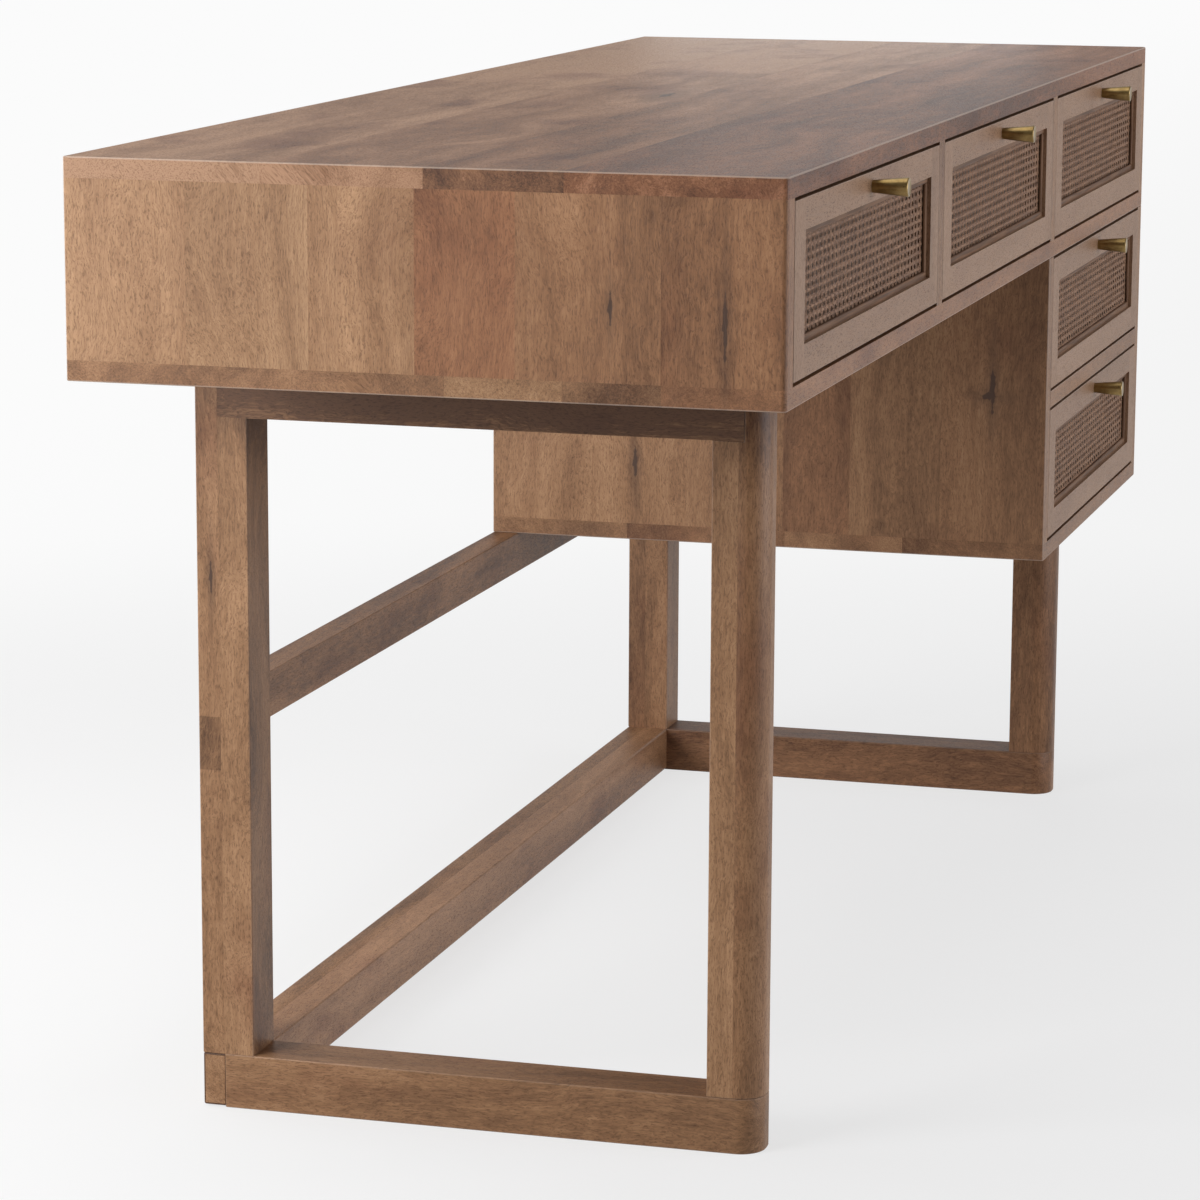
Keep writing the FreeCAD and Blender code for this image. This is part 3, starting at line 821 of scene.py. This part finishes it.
def turnKnob(drawer):
    node = drawer + "_knob"
    low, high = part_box(node)
    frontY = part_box(drawer + "_front_frame")[0].y
    axisX = (low.x + high.x) / 2
    axisZ = (low.z + high.z) / 2
    reach = frontY - low.y
    end, rim, steps = knobLook["end"], knobLook["rim"], knobLook["steps"]
    # radius and distance from the drawer's front, from the foot round the rim to the dished end
    outline = [(0.0, 0.0), (knobLook["base"], 0.0), (end, reach - rim)]
    for step in range(1, steps + 1):
        turn = math.pi / 2 * step / steps
        outline.append((end - rim * (1 - math.cos(turn)), reach - rim + rim * math.sin(turn)))
    outline.append((end - 2 * rim, reach - knobLook["dish"]))
    outline.append((0.0, reach - knobLook["dish"]))
    bm = bmesh.new()
    verts = [bm.verts.new((axisX + radius, frontY - out, axisZ)) for radius, out in outline]
    edges = [bm.edges.new(pair) for pair in zip(verts, verts[1:])]
    bmesh.ops.spin(bm, geom=verts + edges, cent=(axisX, 0.0, axisZ), axis=(0.0, 1.0, 0.0), angle=2 * math.pi,
                   steps=knobLook["sides"], use_merge=True)
    bmesh.ops.remove_doubles(bm, verts=bm.verts[:], dist=weldDistance)
    bmesh.ops.recalc_face_normals(bm, faces=bm.faces[:])
    piece = finishMesh(bm, drawer + "_brass_knob", brass, knobLook["smoothAngle"])
    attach(piece, drawer)
    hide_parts(node)


for drawer in drawers:
    turnKnob(drawer)
print("knobs turned")


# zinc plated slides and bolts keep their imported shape
steelLook = {
    "drawn": {"stretch": (900.0, 8.0, 900.0), "from": 0.2, "to": 0.8, "smooth": 0.28, "rough": 0.46},
    "bloom": {"stretch": (45.0, 45.0, 45.0), "from": 0.3, "to": 0.7},
    "cool": (0.50, 0.51, 0.53, 1.0),
    "warm": (0.62, 0.62, 0.60, 1.0),
}


def makeSteel():
    material, tree, shader = newMaterial("zincSteel")
    place = coordinates(tree, "Object")
    lines, spots = steelLook["drawn"], steelLook["bloom"]
    drawn = noise(tree, place, lines["stretch"])
    bloom = ramp(tree, noise(tree, place, spots["stretch"], detail=3.0), spots["from"], spots["to"])
    setInputs(tree, shader, {
        "Base Color": blendColour(tree, bloom, steelLook["cool"], steelLook["warm"]), "Metallic": 1.0,
        "Roughness": ramp(tree, drawn, lines["from"], lines["to"], lines["smooth"], lines["rough"])})
    return material


steel = makeSteel()
for node in ["frame_bolts", "slide_channels"] + [drawer + "_slide_rails" for drawer in drawers]:
    mesh = frame["nodes"][node].data
    mesh.materials.clear()
    mesh.materials.append(steel)
print("steel parts coloured")


# studio: pale floor, soft light from the desk's back left, camera at the desk's left end
studio = {
    "floorSize": 60.0,
    "floorFinish": {"Roughness": 0.7, "Specular IOR Level": 0.1},
    "floorColour": {"seen": 0.9, "bounced": 0.42},
    # painted light: the floor's glow is brighter at the left, where the key light falls
    "floorGlow": {"left": 0.98, "right": 0.84, "reach": 2.2},
    "floorShade": {"near": 0.76, "far": 0.98, "from": 0.9, "to": 2.4},   # share of the glow, by distance
    "worldLight": 0.2,
    "worldShine": {"near": 0.25, "far": 0.58, "from": -0.2, "to": 0.9},   # what shiny surfaces mirror
    "worldColour": {"left": 0.966, "right": 0.83, "reach": 0.1},   # as the far floor, painted light brighter at the left
    "lights": {
        "keyLight": {"place": (-2.0, 1.4, 1.0), "aim": (-0.7, 0.0, 0.5), "size": (1.2, 1.0), "power": 42.0},
        "topLight": {"place": (-0.2, 0.6, 3.2), "aim": (0.0, 0.0, 0.5), "size": (3.0, 2.6), "power": 40.0},
        "frontLight": {"place": (0.2, -3.4, 1.0), "aim": (0.0, 0.0, 0.6), "size": (2.6, 1.4), "power": 61.0,
                       "colour": (0.97, 1.0, 1.08)},
        "kneeLight": {"place": (-0.3, 1.25, 0.75), "aim": (0.24, 0.0, 0.45), "size": (0.9, 0.6), "power": 5.0},
        "farLight": {"place": (1.9, 0.32, 0.95), "aim": (0.5, 0.0, 0.762), "size": (0.5, 0.3), "power": 0.9},
    },
}
# angles in radians, place in metres, focal length in pixels of the photo
lens = {"pixels": 4301.4, "imageWidth": 1200.0, "sensor": 36.0, "yaw": 0.2782, "pitch": -0.1879, "roll": 0.0044,
        "place": (-3.5431, -0.9116, 1.0193)}


def makeFloor():
    bm = bmesh.new()
    bmesh.ops.create_grid(bm, x_segments=4, y_segments=4, size=studio["floorSize"] / 2)
    mesh = bpy.data.meshes.new("floor")
    bm.to_mesh(mesh)
    bm.free()
    floor = bpy.data.objects.new("floor", mesh)
    scene.collection.objects.link(floor)
    material, tree, shader = newMaterial("paleFloor")
    tone, shade, glow = studio["floorColour"], studio["floorShade"], studio["floorGlow"]
    # the camera and mirrored views see a glow, painted lighter at the left, and light that bounces sees a darker
    # floor
    path = addNode(tree, "ShaderNodeLightPath").outputs
    seen = maths(tree, "ADD", path["Is Camera Ray"], path["Is Glossy Ray"])
    seen = maths(tree, "ADD", seen, path["Is Transmission Ray"], clamp=True)
    colour = ramp(tree, seen, 0.0, 1.0, tone["bounced"], tone["seen"], smooth=False)
    setInputs(tree, shader, {"Base Color": colour, **studio["floorFinish"]})
    place = coordinates(tree, "Object")
    away = vectorMaths(tree, "LENGTH", place)
    share = maths(tree, "MULTIPLY", seen, ramp(tree, away, shade["from"], shade["to"], shade["near"], shade["far"]))
    level = ramp(tree, split(tree, place)["Y"], -glow["reach"], glow["reach"], glow["right"], glow["left"])
    lit = addNode(tree, "ShaderNodeEmission", {"Color": white, "Strength": level})
    mixed = addNode(tree, "ShaderNodeMixShader", {0: share, 1: shader.outputs[0], 2: lit.outputs[0]})
    tree.links.new(mixed.outputs[0], tree.nodes["Material Output"].inputs["Surface"])
    mesh.materials.append(material)


def makeWorld():
    world = bpy.data.worlds.new("studio")
    scene.world = world
    world.use_nodes = True
    tree = world.node_tree
    shine, seen = studio["worldShine"], studio["worldColour"]
    path = addNode(tree, "ShaderNodeLightPath").outputs
    heading = split(tree, coordinates(tree, "Generated"))
    shining = ramp(tree, heading["X"], shine["from"], shine["to"], shine["near"], shine["far"])
    gap = maths(tree, "SUBTRACT", shining, studio["worldLight"])
    strength = maths(tree, "MULTIPLY_ADD", path["Is Glossy Ray"], gap, studio["worldLight"])
    # painted light: the backdrop is brighter at the left
    level = ramp(tree, heading["Y"], -seen["reach"], seen["reach"], seen["right"], seen["left"])
    gap = maths(tree, "SUBTRACT", level, strength)
    strength = maths(tree, "MULTIPLY_ADD", path["Is Camera Ray"], gap, strength)
    setInputs(tree, tree.nodes["Background"], {"Color": white, "Strength": strength})


def addLight(name, settings):
    lamp = bpy.data.lights.new(name, "AREA")
    lamp.shape = "RECTANGLE"
    lamp.size, lamp.size_y = settings["size"]
    lamp.energy = settings["power"]
    lamp.color = settings.get("colour", white[:3])
    holder = bpy.data.objects.new(name, lamp)
    scene.collection.objects.link(holder)
    place = Vector(settings["place"])
    holder.location = place
    holder.rotation_euler = (Vector(settings["aim"]) - place).to_track_quat("-Z", "Y").to_euler()
    holder.visible_camera = False


def addCamera():
    yaw, pitch, roll = lens["yaw"], lens["pitch"], lens["roll"]
    ahead = Vector((math.cos(yaw) * math.cos(pitch), math.sin(yaw) * math.cos(pitch), math.sin(pitch)))
    level = Vector((math.sin(yaw), -math.cos(yaw), 0.0))
    above = level.cross(ahead)
    right = math.cos(roll) * level + math.sin(roll) * above
    up = -math.sin(roll) * level + math.cos(roll) * above
    data = bpy.data.cameras.new("camera")
    data.sensor_width = lens["sensor"]
    data.lens = lens["pixels"] / lens["imageWidth"] * lens["sensor"]
    camera = bpy.data.objects.new("camera", data)
    scene.collection.objects.link(camera)
    turned = Matrix((right, up, -ahead)).transposed().to_4x4()
    camera.matrix_world = Matrix.Translation(Vector(lens["place"])) @ turned
    scene.camera = camera


makeFloor()
makeWorld()
for name, settings in studio["lights"].items():
    addLight(name, settings)
addCamera()
print("studio set")
